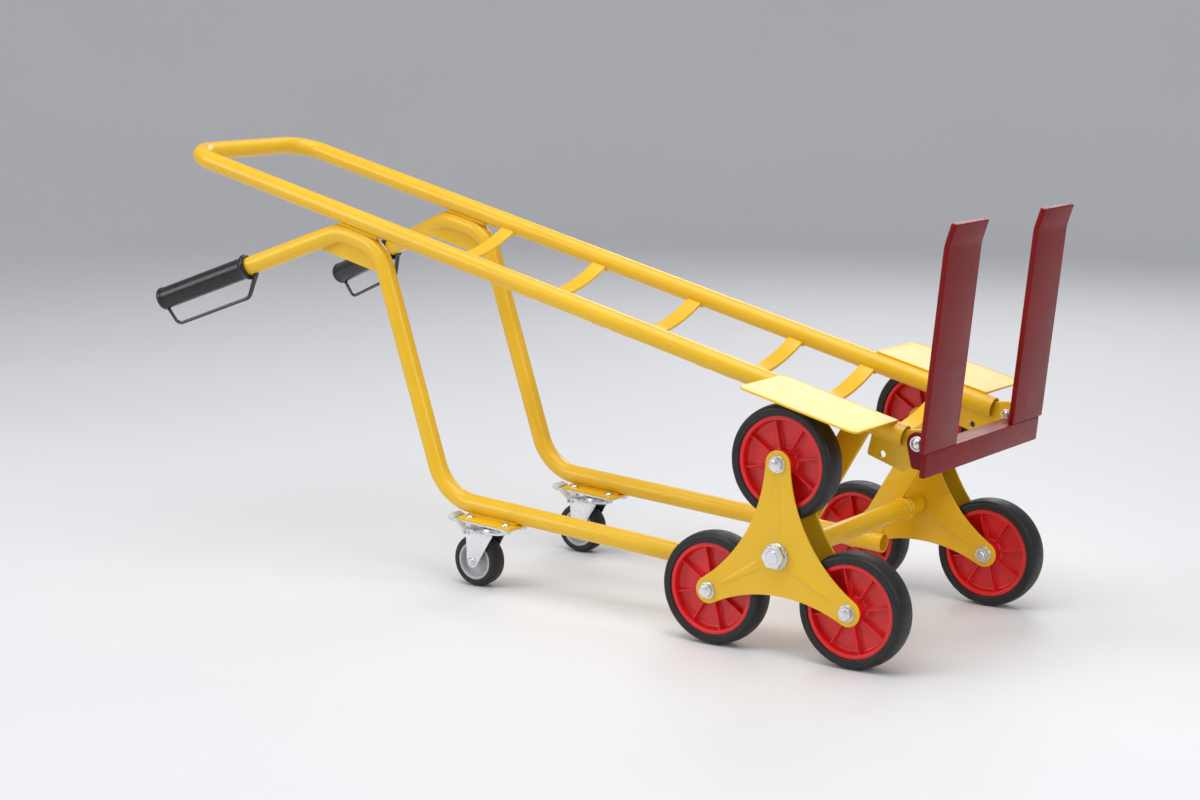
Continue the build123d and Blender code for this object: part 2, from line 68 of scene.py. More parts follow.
def onFrame(points):
    # turns points by the tilt about the star axle: x' = x cos t + z sin t, z' = z cos t - x sin t
    t = np.radians(stance["tilt"])
    x, y, z = points[..., 0], points[..., 1], points[..., 2]
    turned = np.stack([x * np.cos(t) + z * np.sin(t), y, z * np.cos(t) - x * np.sin(t)], -1)
    return turned + np.array([starPlace[0], 0.0, starPlace[2]])


def onFork(points):
    # the same turn by the fork's lean, about the pivot bolts
    t = np.radians(stance["forkLean"])
    x, y, z = points[..., 0], points[..., 1], points[..., 2]
    turned = np.stack([x * np.cos(t) + z * np.sin(t), y, z * np.cos(t) - x * np.sin(t)], -1)
    return turned + np.array([pivotPlace[0], 0.0, pivotPlace[2]])


def moved(surfaces, place):
    return [(place(points), closeRows, closeCols) for points, closeRows, closeCols in surfaces]


def mirrored(surfaces):
    return [(points * np.array([1.0, -1.0, 1.0]), closeRows, closeCols) for points, closeRows, closeCols in surfaces]


def sidePlaced(points):  # plate coordinates (p, q, thickness) to x, z and y
    return np.stack([points[..., 0], points[..., 2], points[..., 1]], -1)


# ---- outlines and paths ----

def circle(radius, count=32):
    a = np.linspace(0, 2 * np.pi, count, endpoint=False)
    return np.stack([radius * np.cos(a), radius * np.sin(a)], -1)


def hullOfDiscs(discs, count=720):
    # for each direction the disc that reaches furthest gives the point: centre + radius * direction
    discs = np.array(discs, float)
    a = np.linspace(0, 2 * np.pi, count, endpoint=False)
    way = np.stack([np.cos(a), np.sin(a)], -1)
    reach = way @ discs[:, :2].T + discs[:, 2]
    best = reach.argmax(1)
    return discs[best, :2] + discs[best, 2:3] * way


def resample(outline, count):
    # walks a closed outline in equal steps
    ring = np.vstack([outline, outline[:1]])
    length = np.concatenate([[0], np.cumsum(np.linalg.norm(np.diff(ring, axis=0), axis=1))])
    s = np.linspace(0, length[-1], count, endpoint=False)
    return np.stack([np.interp(s, length, ring[:, k]) for k in range(ring.shape[1])], -1)


def roundedBox(width, height, radius, steps=5):
    # quarter circles of the given radius at the corners of a width by height rectangle
    a = np.linspace(0, np.pi / 2, steps)
    quarter = radius * np.stack([np.cos(a), np.sin(a)], -1)
    w, h = width / 2 - radius, height / 2 - radius
    corners = []
    for turn, (cx, cy) in enumerate([(w, h), (-w, h), (-w, -h), (w, -h)]):
        c, s = np.cos(turn * np.pi / 2), np.sin(turn * np.pi / 2)
        corners.append(quarter @ np.array([[c, s], [-s, c]]) + [cx, cy])
    return np.vstack(corners)


def bentPath(corners, radii, stepDegrees=5.0):
    # straight runs joined by arcs: each arc starts radius * tan(half the turn) before its corner
    corners = np.array(corners, float)
    radii = np.broadcast_to(radii, (len(corners) - 2,))
    parts = [corners[:1]]
    for k in range(1, len(corners) - 1):
        back = corners[k - 1] - corners[k]
        on = corners[k + 1] - corners[k]
        back, on = back / np.linalg.norm(back), on / np.linalg.norm(on)
        turn = np.pi - np.arccos(np.clip(back @ on, -1, 1))
        start = corners[k] + back * radii[k - 1] * np.tan(turn / 2)
        inward = on + back
        centre = corners[k] + inward / np.linalg.norm(inward) * radii[k - 1] / np.cos(turn / 2)
        a = np.linspace(0, turn, max(3, int(np.degrees(turn) / stepDegrees) + 1))[:, None]
        parts.append(centre + (start - centre) * np.cos(a) - back * radii[k - 1] * np.sin(a))
    parts.append(corners[-1:])
    return np.vstack(parts)


# ---- surfaces: each is a grid of points, and whether its rows and columns close on themselves ----

def carry(profile, path, hint, endRound=1.0, hollow=0.0, grow=None):
    # p(i, j) = path(i) + side(i) * profile(j, 0) + up(i) * profile(j, 1), with side = hint x tangent
    path = np.array(path, float)
    tangent = np.gradient(path, axis=0)
    tangent /= np.linalg.norm(tangent, axis=1)[:, None]
    side = np.cross(np.broadcast_to(hint, tangent.shape), tangent)
    side /= np.linalg.norm(side, axis=1)[:, None]
    up = np.cross(tangent, side)
    half = np.abs(profile).max(0)
    size = np.ones((len(path), 2)) if grow is None else np.stack([grow, grow], -1)

    def ring(centre, s, u, scale):
        return centre[None] + s[None] * (profile[:, :1] * scale[0]) + u[None] * (profile[:, 1:] * scale[1])

    def ending(at, inward):
        a = np.linspace(0, np.pi / 2, 4)
        rows = []
        for turn in a:
            scale = size[at] * (1 - endRound / half * (1 - np.cos(turn)))
            rows.append(ring(path[at] + inward * endRound * (1 - np.sin(turn)), side[at], up[at], scale))
        if hollow:
            bore = size[at] * (1 - hollow / half)
            rows.append(ring(path[at], side[at], up[at], bore))
            rows.append(ring(path[at] + inward * 14.0, side[at], up[at], bore))
            rows.append(np.repeat((path[at] + inward * 14.0)[None], len(profile), 0))
        else:
            rows.append(np.repeat(path[at][None], len(profile), 0))
        return rows

    first = ending(0, tangent[0])[::-1]
    last = ending(-1, -tangent[-1])
    middle = path[1:-1, None] + side[1:-1, None] * (profile[None, :, :1] * size[1:-1, None, :1])
    middle = middle + up[1:-1, None] * (profile[None, :, 1:] * size[1:-1, None, 1:])
    return np.concatenate([np.array(first), middle, np.array(last)]), False, True


def turned(profile, centre, count=64, angles=None, shape=None, closed=False):
    # profile of (radius, along) turned about a line along y through centre; shape may change "along"
    profile = np.array(profile, float)
    a = np.linspace(0, 2 * np.pi, count, endpoint=False) if angles is None else angles
    r = np.repeat(profile[:, :1], len(a), 1)
    along = np.repeat(profile[:, 1:2], len(a), 1)
    if shape is not None:
        along = shape(r, along, a[None])
    points = np.stack([r * np.cos(a), along, r * np.sin(a)], -1) + np.array(centre, float)
    return points, closed, True


def plate(outline, middle, low, high, edge=0.8, bore=0.0, rings=2, relief=None, count=240):
    # p(t, s) = bore ring + t * (outline - bore ring), once below and once above, round a soft edge
    rim = resample(outline, count)
    centre = np.array(middle, float)
    step = np.roll(rim, -1, 0) - np.roll(rim, 1, 0)
    inward = np.stack([-step[:, 1], step[:, 0]], -1) / np.linalg.norm(step, axis=1)[:, None]
    area = 0.5 * np.sum(rim[:, 0] * np.roll(rim[:, 1], -1) - rim[:, 1] * np.roll(rim[:, 0], -1))
    inward = inward * np.sign(area)
    away = rim - centre
    hole = centre + bore * away / np.linalg.norm(away, axis=1)[:, None]
    inset = rim + inward * edge
    rows = []
    for t in np.linspace(0, 1, rings + 1):
        flat = hole + t * (inset - hole)
        rows.append(np.column_stack([flat, np.full(count, low)]))
    for turn in (30, 60, 90, 120, 150):
        a = np.radians(turn)
        level = (low + edge - edge * np.cos(a)) if turn < 90 else (high - edge - edge * np.cos(a))
        out = rim + inward * edge * (1 - np.sin(a))
        if turn == 90:
            rows.append(np.column_stack([out, np.full(count, low + edge)]))
            rows.append(np.column_stack([out, np.full(count, high - edge)]))
        else:
            rows.append(np.column_stack([out, np.full(count, level)]))
    for t in np.linspace(1, 0, rings + 1):
        flat = hole + t * (inset - hole)
        rows.append(np.column_stack([flat, np.full(count, high)]))
    points = np.array(rows)
    if relief is not None:
        points = relief(points)
    return points, bore > 0, True


def weldBead(path, radius=2.2, hint=(0, 1, 0)):
    # a thin rope along the seam whose radius swells every 2.4 mm like the steps of a weld
    path = np.array(path, float)
    step = np.linalg.norm(np.diff(path, axis=0), axis=1)
    length = np.concatenate([[0], np.cumsum(step)])
    count = max(6, int(length[-1] / 0.8))
    s = np.linspace(0, length[-1], count)
    fine = np.stack([np.interp(s, length, path[:, k]) for k in range(3)], -1)
    taper = np.clip(np.minimum(s, length[-1] - s) / 2.0, 0.15, 1.0)
    grow = taper * (1 + 0.13 * np.cos(2 * np.pi * s / 2.4))
    return carry(circle(radius, 10), fine, hint, endRound=0.01, grow=grow)


def hexagon(flats, corner=1.0):
    a = np.radians(np.arange(6) * 60.0)
    far = flats / np.sqrt(3) - corner / np.cos(np.pi / 6)
    return hullOfDiscs(np.column_stack([far * np.cos(a), far * np.sin(a), np.full(6, corner)]))


def hexHead(x, z, low, high, flats, spin=0.0):
    c, s = np.cos(np.radians(spin)), np.sin(np.radians(spin))
    outline = hexagon(flats) @ np.array([[c, s], [-s, c]]) + [x, z]
    points, closeRows, closeCols = plate(outline, (x, z), low, high, edge=1.0, count=96)
    return sidePlaced(points), closeRows, closeCols


def washer(x, z, low, high, radius, bore=2.0):
    r = 0.35
    profile = [(bore, low), (radius - r, low), (radius, low + r), (radius, high - r), (radius - r, high), (bore, high)]
    return turned(profile, (x, 0, z), 48, closed=True)


def shank(x, z, low, high, radius):
    c = 0.9
    profile = [(0, low), (radius - c, low), (radius, low + c), (radius, high - c), (radius - c, high), (0, high)]
    return turned(profile, (x, 0, z), 40)


def threaded(x, z, low, high, radius, pitch=1.5):
    # rod whose radius goes up and down by a third of a millimetre each pitch
    s = np.arange(low, high, pitch / 4)
    profile = np.column_stack([radius - 0.2 + 0.2 * np.cos(2 * np.pi * s / pitch), s])
    profile = np.vstack([[0, low], [radius - 1, low], profile[2:], [radius - 1, high], [0, high]])
    return turned(profile, (x, 0, z), 32)


def dome(x, z, foot, top, radius):
    # low dome: radius * cos a, height * sin a
    a = np.linspace(0, np.pi / 2, 10)
    profile = np.column_stack([radius * np.cos(a), foot + (top - foot) * np.sin(a)])
    return turned(np.vstack([[0, foot], profile]), (x, 0, z), 40)


# ---- mesh ----

def gridFaces(rows, cols, closeRows, closeCols):
    i = np.arange(rows if closeRows else rows - 1)
    j = np.arange(cols if closeCols else cols - 1)
    i, j = np.meshgrid(i, j, indexing="ij")
    ni, nj = (i + 1) % rows, (j + 1) % cols
    return np.stack([i * cols + j, i * cols + nj, ni * cols + nj, ni * cols + j], -1).reshape(-1, 4)


def makePiece(name, surfaces, body, material, nodes, sharp=38.0):
    verts, faces, start = [], [], 0
    for points, closeRows, closeCols in surfaces:
        rows, cols = points.shape[:2]
        verts.append(points.reshape(-1, 3) * 0.001)
        faces.append(gridFaces(rows, cols, closeRows, closeCols) + start)
        start += rows * cols
    mesh = bpy.data.meshes.new(name)
    mesh.from_pydata(np.vstack(verts).tolist(), [], np.vstack(faces).tolist())
    work = bmesh.new()
    work.from_mesh(mesh)
    bmesh.ops.remove_doubles(work, verts=work.verts, dist=2e-6)
    bmesh.ops.recalc_face_normals(work, faces=work.faces)
    work.to_mesh(mesh)
    work.free()
    mesh.polygons.foreach_set("use_smooth", np.ones(len(mesh.polygons), bool))
    mesh.set_sharp_from_angle(angle=np.radians(sharp))
    mesh.materials.append(material)
    piece = bpy.data.objects.new(name, mesh)
    bpy.context.scene.collection.objects.link(piece)
    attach(piece, body)
    if nodes:
        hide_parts(*nodes)
    return piece


# ---- finishes ----

def newMaterial(name):
    material = bpy.data.materials.new(name)
    material.use_nodes = True
    nodes, links = material.node_tree.nodes, material.node_tree.links
    shader = nodes["Principled BSDF"]
    coords = nodes.new("ShaderNodeTexCoord")
    return material, nodes, links, shader, coords


def noiseField(nodes, links, coords, scale, detail=3.0, roughness=0.55, stretch=None):
    noise = nodes.new("ShaderNodeTexNoise")
    noise.inputs["Scale"].default_value = scale
    noise.inputs["Detail"].default_value = detail
    noise.inputs["Roughness"].default_value = roughness
    if stretch is None:
        links.new(coords.outputs["Object"], noise.inputs["Vector"])
    else:
        mapping = nodes.new("ShaderNodeMapping")
        mapping.inputs["Scale"].default_value = stretch
        links.new(coords.outputs["Object"], mapping.inputs["Vector"])
        links.new(mapping.outputs["Vector"], noise.inputs["Vector"])
    return noise


def ramp(nodes, links, source, stops):
    made = nodes.new("ShaderNodeValToRGB")
    made.color_ramp.elements[0].position, made.color_ramp.elements[0].color = stops[0][0], (*stops[0][1], 1)
    made.color_ramp.elements[1].position, made.color_ramp.elements[1].color = stops[-1][0], (*stops[-1][1], 1)
    for place, colour in stops[1:-1]:
        made.color_ramp.elements.new(place).color = (*colour, 1)
    links.new(source, made.inputs["Fac"])
    return made


def spread(nodes, links, source, low, high):
    # maps a field of 0.3..0.7 to the given limits
    made = nodes.new("ShaderNodeMapRange")
    made.inputs["From Min"].default_value = 0.3
    made.inputs["From Max"].default_value = 0.7
    made.inputs["To Min"].default_value = low
    made.inputs["To Max"].default_value = high
    links.new(source, made.inputs["Value"])
    return made.outputs["Result"]


def bump(nodes, links, shader, source, strength, distance, before=None):
    made = nodes.new("ShaderNodeBump")
    made.inputs["Strength"].default_value = strength
    made.inputs["Distance"].default_value = distance
    links.new(source, made.inputs["Height"])
    if before is not None:
        links.new(before.outputs["Normal"], made.inputs["Normal"])
    links.new(made.outputs["Normal"], shader.inputs["Normal"])
    return made


def paintedSteel(name, stops, rough, coat, peelScale=260.0, peelStrength=0.10, specular=0.5):
    # powder coat: cloudy colour, orange-peel skin, fine sparkle of dust in the gloss
    material, nodes, links, shader, coords = newMaterial(name)
    cloud = noiseField(nodes, links, coords, 9.0, 5.0, 0.6)
    links.new(ramp(nodes, links, cloud.outputs["Fac"], stops).outputs["Color"], shader.inputs["Base Color"])
    smear = noiseField(nodes, links, coords, 45.0, 4.0, 0.6)
    links.new(spread(nodes, links, smear.outputs["Fac"], *rough), shader.inputs["Roughness"])
    peel = noiseField(nodes, links, coords, peelScale, 2.0, 0.5)
    first = bump(nodes, links, shader, peel.outputs["Fac"], peelStrength, 0.0006)
    runs = noiseField(nodes, links, coords, 38.0, 2.0, 0.5)
    bump(nodes, links, shader, runs.outputs["Fac"], 0.04, 0.002, first)
    shader.inputs["Coat Weight"].default_value = coat
    shader.inputs["Coat Roughness"].default_value = 0.12
    shader.inputs["Specular IOR Level"].default_value = specular
    return material


def zincPlate(name, stops, rough):
    # bright zinc: blue-grey clouds, fine brushed scratches
    material, nodes, links, shader, coords = newMaterial(name)
    cloud = noiseField(nodes, links, coords, 30.0, 2.0, 0.5)
    links.new(ramp(nodes, links, cloud.outputs["Fac"], stops).outputs["Color"], shader.inputs["Base Color"])
    smear = noiseField(nodes, links, coords, 160.0, 5.0, 0.65)
    links.new(spread(nodes, links, smear.outputs["Fac"], *rough), shader.inputs["Roughness"])
    scratch = noiseField(nodes, links, coords, 300.0, 3.0, 0.6, (1.0, 8.0, 1.0))
    bump(nodes, links, shader, scratch.outputs["Fac"], 0.08, 0.0004)
    shader.inputs["Metallic"].default_value = 1.0
    return material


def mouldedPlastic(name, stops, rough, grainScale, grainStrength, coat=0.0):
    # moulded nylon or polypropylene: slight colour flow, fine mould grain
    material, nodes, links, shader, coords = newMaterial(name)
    flow = noiseField(nodes, links, coords, 22.0, 4.0, 0.55)
    links.new(ramp(nodes, links, flow.outputs["Fac"], stops).outputs["Color"], shader.inputs["Base Color"])
    smear = noiseField(nodes, links, coords, 120.0, 4.0, 0.6)
    links.new(spread(nodes, links, smear.outputs["Fac"], *rough), shader.inputs["Roughness"])
    grain = noiseField(nodes, links, coords, grainScale, 2.0, 0.5)
    bump(nodes, links, shader, grain.outputs["Fac"], grainStrength, 0.0004)
    shader.inputs["Coat Weight"].default_value = coat
    shader.inputs["Coat Roughness"].default_value = 0.2
    return material


def blackRubber(name, stops, rough, grainScale, grainStrength):
    # solid rubber: nearly black, with pale dust in patches and a fine matt grain
    material, nodes, links, shader, coords = newMaterial(name)
    dust = noiseField(nodes, links, coords, 30.0, 6.0, 0.68)
    links.new(ramp(nodes, links, dust.outputs["Fac"], stops).outputs["Color"], shader.inputs["Base Color"])
    smear = noiseField(nodes, links, coords, 80.0, 4.0, 0.6)
    links.new(spread(nodes, links, smear.outputs["Fac"], *rough), shader.inputs["Roughness"])
    grain = noiseField(nodes, links, coords, grainScale, 3.0, 0.55)
    bump(nodes, links, shader, grain.outputs["Fac"], grainStrength, 0.0005)
    shader.inputs["Specular IOR Level"].default_value = 0.45
    return material


yellow = paintedSteel("yellowPowderCoat", [(0.30, (0.80, 0.46, 0.004)), (0.5, (0.83, 0.49, 0.005)), (0.72, (0.85, 0.51, 0.007))],
                      (0.34, 0.44), 0.18)
darkRed = paintedSteel("darkRedEnamel", [(0.30, (0.17, 0.002, 0.003)), (0.5, (0.20, 0.003, 0.004)), (0.72, (0.23, 0.004, 0.005))],
                       (0.30, 0.40), 0.0, 200.0, 0.06, 0.22)
blackWire = paintedSteel("blackCoatedWire", [(0.30, (0.012, 0.012, 0.013)), (0.72, (0.028, 0.028, 0.030))],
                         (0.18, 0.30), 0.5, 400.0, 0.05)
zinc = zincPlate("zincPlate", [(0.30, (0.68, 0.69, 0.71)), (0.5, (0.73, 0.74, 0.76)), (0.7, (0.78, 0.78, 0.78))], (0.24, 0.32))
redRim = mouldedPlastic("redRimPlastic", [(0.30, (0.62, 0.006, 0.008)), (0.7, (0.76, 0.010, 0.010))], (0.26, 0.40), 420.0, 0.10, 0.15)
palePedal = mouldedPlastic("palePedalPlastic", [(0.30, (0.58, 0.60, 0.56)), (0.7, (0.70, 0.72, 0.68))], (0.35, 0.5), 500.0, 0.12)
greyNylon = mouldedPlastic("greyNylon", [(0.30, (0.42, 0.43, 0.44)), (0.7, (0.52, 0.53, 0.54))], (0.35, 0.5), 500.0, 0.12)
tyreRubber = blackRubber("tyreRubber", [(0.35, (0.007, 0.007, 0.007)), (0.6, (0.010, 0.010, 0.010)), (0.8, (0.018, 0.017, 0.017))],
                         (0.38, 0.58), 520.0, 0.22)
gripRubber = blackRubber("gripRubber", [(0.35, (0.008, 0.008, 0.009)), (0.8, (0.018, 0.018, 0.019))], (0.22, 0.34), 800.0, 0.10)
print("finishes made")


# ---- rails, rungs and lower tubes ----

railSettings = {"front": 98.0, "rear": -1257.0, "bend": 48.0, "segments": 40}
side, rise, tubeRadius = stance["railSide"], stance["railRise"], stance["tubeRadius"]
railPath = bentPath([(railSettings["front"], -side, rise), (railSettings["rear"], -side, rise),
                     (railSettings["rear"], side, rise), (railSettings["front"], side, rise)], railSettings["bend"], 3.0)
tubeRing = circle(tubeRadius, railSettings["segments"])
rails = [carry(tubeRing, railPath, (0, 0, 1), 0.5, stance["tubeWall"])]

lowerSettings = {
    "handleEnd": (-1189.0, 217.0, -25.0),
    "handleFoot": -918.0,
    "legTop": -837.0,
    "legFoot": (-623.0, -171.0),
    "runEnd": (-16.0, -62.0),
    "bends": (60.0, 60.0, 80.0),
}
underRail = rise - 2 * tubeRadius - 0.2
handleEnd = np.array(lowerSettings["handleEnd"])
handleFoot = np.array([lowerSettings["handleFoot"], side, underRail])
legTop = np.array([lowerSettings["legTop"], side, underRail])
legFoot = np.array([lowerSettings["legFoot"][0], side, lowerSettings["legFoot"][1]])
runEnd = np.array([lowerSettings["runEnd"][0], side, lowerSettings["runEnd"][1]])
lowerPath = bentPath([handleEnd, handleFoot, legTop, legFoot, runEnd], lowerSettings["bends"], 3.0)
lowerTube = [carry(tubeRing, lowerPath, (0, 1, 0), 0.5, stance["tubeWall"])]

# two weld beads in the valleys where the lower tube runs along the rail
valley = rise - tubeRadius - 0.1
saddleWelds = [weldBead([(lowerSettings["handleFoot"] + 2, side + d, valley), (lowerSettings["legTop"] - 2, side + d, valley)], 3.4)
               for d in (-6.5, 6.5)]

rungSettings = {"places": (18.0, -106.0, -232.0, -418.0, -602.0, -788.0), "width": 25.0, "thick": 5.0, "drop": 46.0, "endRise": 195.0}


def rungSurfaces(place):
    # an arc of radius (side^2 + drop^2) / (2 drop) that sags by "drop" between the rails
    bow = (side**2 + rungSettings["drop"]**2) / (2 * rungSettings["drop"])
    centre = rungSettings["endRise"] - rungSettings["drop"] + bow
    reach = np.arcsin((side - 5.0) / bow)
    a = np.linspace(-reach, reach, 49)
    path = np.column_stack([np.full(49, place), bow * np.sin(a), centre - bow * np.cos(a)])
    bar = carry(roundedBox(rungSettings["thick"], rungSettings["width"], 1.3), path, (1, 0, 0), 1.0)
    half = rungSettings["width"] / 2 - 0.5
    beads = []
    for sign in (-1, 1):
        for y, z in ((side - 8.4, rise - 12.2), (side - 2.2, rise - 14.6)):
            beads.append(weldBead([(place - half, sign * y, z), (place + half, sign * y, z)], 2.1, (0, 0, 1)))
    return [bar] + beads


makePiece("railLoop", moved(rails, onFrame), "frame", yellow, ["back_frame"])
for number, place in enumerate(rungSettings["places"], start=1):
    makePiece("rungBar%d" % number, moved(rungSurfaces(place), onFrame), "frame", yellow, ["rung_%d" % number])
leftTube = moved(lowerTube + saddleWelds, onFrame)
makePiece("lowerTubeLeft", leftTube, "frame", yellow, ["support_tube_left"])
makePiece("lowerTubeRight", mirrored(leftTube), "frame", yellow, ["support_tube_right"])
print("tubes and rungs made")

# ---- plates on the frame ----

plateSettings = {
    "gusset": [(-904.0, 170.0, 2.0), (-845.0, 170.0, 2.0), (-809.0, 129.0, 2.0), (-970.0, 129.0, 2.0)],
    "gussetThick": 4.0,
    "guardFront": 82.0, "guardRear": -104.0, "guardInner": 134.0, "guardOuter": 254.0, "guardThick": 3.0,
    "bracket": [(121.5, 194.2, 18.0), (107.0, 152.0, 4.0), (54.0, 156.0, 4.0), (54.0, 186.0, 4.0)],
    "bracketThick": 6.0, "bracketHole": (72.5, 160.5, 5.0),
    "strutTop": (28.0, 190.0), "strutFoot": (-47.0, -62.0), "strutWidth": 38.0, "strutThick": 6.0,
}

half = plateSettings["gussetThick"] / 2
points, closeRows, closeCols = plate(hullOfDiscs(plateSettings["gusset"]), (-880, 150), side - half, side + half, 0.8)
gusset = [(sidePlaced(points), closeRows, closeCols)]
gusset = moved(gusset, onFrame)
makePiece("cornerGussets", gusset + mirrored(gusset), "frame", yellow, ["gussets"])

rear, front = plateSettings["guardRear"], plateSettings["guardFront"]
inner, outer = plateSettings["guardInner"], plateSettings["guardOuter"]
guardDiscs = [(rear + 12, outer - 12, 12), (front - 12, outer - 12, 12), (front - 1.5, inner + 1.5, 1.5), (rear + 1.5, inner + 1.5, 1.5)]
top = rise + tubeRadius
guard = [plate(hullOfDiscs(guardDiscs), (-10, 190), top, top + plateSettings["guardThick"], 0.9, rings=8)]
guardWelds = [weldBead([(rear + 6 + d, side + s * 8.0, top - 1.6), (rear + 41 + d, side + s * 8.0, top - 1.6)], 2.3)
              for d in (0, 70, 138) for s in (1,)]
guard = moved(guard + guardWelds, onFrame)
makePiece("wheelGuardLeft", guard, "frame", yellow, ["wheel_guard_left"])
makePiece("wheelGuardRight", mirrored(guard), "frame", yellow, ["wheel_guard_right"])

half = plateSettings["bracketThick"] / 2
hx, hz, hr = plateSettings["bracketHole"]
points, closeRows, closeCols = plate(hullOfDiscs(plateSettings["bracket"]), (hx, hz), side - half, side + half, 1.0, bore=hr)
bracket = [(sidePlaced(points), closeRows, closeCols)]
bracketWelds = [weldBead([(56, side + s * 5.4, rise - 12.6), (96, side + s * 5.4, rise - 12.6)], 2.6) for s in (-1, 1)]
bracket = moved(bracket + bracketWelds, onFrame)
makePiece("pivotBrackets", bracket + mirrored(bracket), "frame", yellow, ["fork_brackets"])

tx, tz = plateSettings["strutTop"]
fx, fz = plateSettings["strutFoot"]
strutPath = np.array([(tx, side, tz), ((tx + fx) / 2, side, (tz + fz) / 2), (fx, side, fz)])
strut = [carry(roundedBox(plateSettings["strutWidth"], plateSettings["strutThick"], 1.4), strutPath, (0, 1, 0), 1.2)]
across = np.array([np.cos(np.radians(16.3)), 0, -np.sin(np.radians(16.3))]) * 15.0
for end in ((tx - 4, tz - 10), (fx + 3, fz + 12)):
    for s in (-1, 1):
        middle = np.array([end[0], side + s * 4.6, end[1]])
        strut.append(weldBead([middle - across, middle + across], 2.3))
strut = moved(strut, onFrame)
makePiece("sideStrutLeft", strut, "frame", yellow, ["side_strut_left"])
makePiece("sideStrutRight", mirrored(strut), "frame", yellow, ["side_strut_right"])

a = np.linspace(0, 2 * np.pi, 61)
beamPath = np.array([(0, -178.0, 0), (0, 0, 0), (0, 178.0, 0)])
beam = [carry(tubeRing, beamPath, (1, 0, 0), 0.5, 3.0)]
for s in (-1, 1):
    for d in (-4.6, 4.6):
        ringPath = np.column_stack([(tubeRadius + 0.4) * np.cos(a), np.full(61, s * side + d), (tubeRadius + 0.4) * np.sin(a)])
        beam.append(weldBead(ringPath, 2.3, (0, 1, 0)))
makePiece("crossBeam", moved(beam, onFrame), "frame", yellow, ["axle_beam"])
print("frame plates made")

# ---- axle and stars ----

starSettings = {
    "arm": float(np.hypot(*(jointPlace("wheel_spin_1_left") - starPlace)[[0, 2]])),
    "waist": 56.0, "tip": 19.0, "inner": 181.5, "thick": 3.0,
    "ridgeFrom": 26.0, "ridgeTo": 104.0, "ridgeHeight": 1.7,
}
wheelSide = starPlace[1]
starOuter = 2 * wheelSide - starSettings["inner"]
armAngles = {1: 90.0, 2: -30.0, 3: -150.0}


def starOutline(steps=60):
    # tip arc of radius "tip", then a hollow arc tangent to it that comes within "waist" of the middle
    arm, tip, waist = starSettings["arm"], starSettings["tip"], starSettings["waist"]
    near = waist - arm / 2
    hollow = ((arm * np.cos(np.pi / 6))**2 + near**2 - tip**2) / (2 * (tip - near))
    centre = (hollow + waist) * np.array([0.5, np.sin(np.pi / 3)])
    meet = np.arctan2(centre[1], centre[0] - arm)
    a = np.linspace(0, meet, steps)
    tipArc = np.column_stack([arm + tip * np.cos(a), tip * np.sin(a)])
    b = np.linspace(meet + np.pi, np.pi * 4 / 3, steps)
    hollowArc = centre + hollow * np.column_stack([np.cos(b), np.sin(b)])
    halfArm = np.vstack([tipArc, hollowArc[1:]])
    whole = np.vstack([(halfArm * [1, -1])[::-1], halfArm[1:]])
    arms = []
    for degrees in (armAngles[1], armAngles[1] + 120, armAngles[1] + 240):
        c, s = np.cos(np.radians(degrees)), np.sin(np.radians(degrees))
        arms.append((whole @ np.array([[c, s], [-s, c]]))[:-1])
    return np.vstack(arms)


def starPlate(low, high, outward):
    def pressed(points):
        # each arm carries a ridge: height * smooth(1 - across / halfWidth) * smooth ends; halfWidth narrows outwards
        lift = np.zeros(points.shape[:2])
        for degrees in armAngles.values():
            c, s = np.cos(np.radians(degrees)), np.sin(np.radians(degrees))
            along = points[..., 0] * c + points[..., 1] * s
            away = np.abs(-points[..., 0] * s + points[..., 1] * c)
            width = 11.0 - 0.07 * along
            crest = np.clip((width - away) / 5.0, 0, 1)
            ends = np.clip((along - starSettings["ridgeFrom"]) / 12.0, 0, 1) * np.clip((starSettings["ridgeTo"] - along) / 10.0, 0, 1)
            crest, ends = crest**2 * (3 - 2 * crest), ends**2 * (3 - 2 * ends)
            lift = np.maximum(lift, crest * ends)
        points = points.copy()
        points[..., 2] += outward * starSettings["ridgeHeight"] * lift
        return points
    points, closeRows, closeCols = plate(starOutline(), (0, 0), low, high, 0.9, bore=10.3, rings=44, relief=pressed, count=420)
    points = sidePlaced(points) + np.array([starPlace[0], 0, starPlace[2]])
    return [(points, closeRows, closeCols)]


def armTip(number):
    a = np.radians(armAngles[number])
    return starPlace[0] + starSettings["arm"] * np.cos(a), starPlace[2] + starSettings["arm"] * np.sin(a)


outerPlate = starPlate(starOuter - starSettings["thick"], starOuter, 1.0)
innerPlate = starPlate(starSettings["inner"], starSettings["inner"] + starSettings["thick"], -1.0)
makePiece("starPlateOuterLeft", outerPlate, "star_left", yellow, ["star_plate_outer_left"])
makePiece("starPlateOuterRight", mirrored(outerPlate), "star_right", yellow, ["star_plate_outer_right"])
makePiece("starPlateInnerLeft", innerPlate, "star_left", yellow, ["star_plate_inner_left"])
makePiece("starPlateInnerRight", mirrored(innerPlate), "star_right", yellow, ["star_plate_inner_right"])

bolts = []
for number in (1, 2, 3):
    x, z = armTip(number)
    spin = 11.0 + 17.0 * number
    bolts += [washer(x, z, starOuter, starOuter + 2, 12.0), hexHead(x, z, starOuter + 2, starOuter + 8.2, 18.0, spin),
              dome(x, z, starOuter + 7.4, starOuter + 9.0, 7.4), shank(x, z, starSettings["inner"] - 11, starOuter + 2, 5.9),
              washer(x, z, starSettings["inner"] - 2, starSettings["inner"], 12.0),
              hexHead(x, z, starSettings["inner"] - 9, starSettings["inner"] - 2, 18.0, spin + 20)]
makePiece("wheelBoltsLeft", bolts, "star_left", zinc, ["wheel_bolts_left"])
makePiece("wheelBoltsRight", mirrored(bolts), "star_right", zinc, ["wheel_bolts_right"])

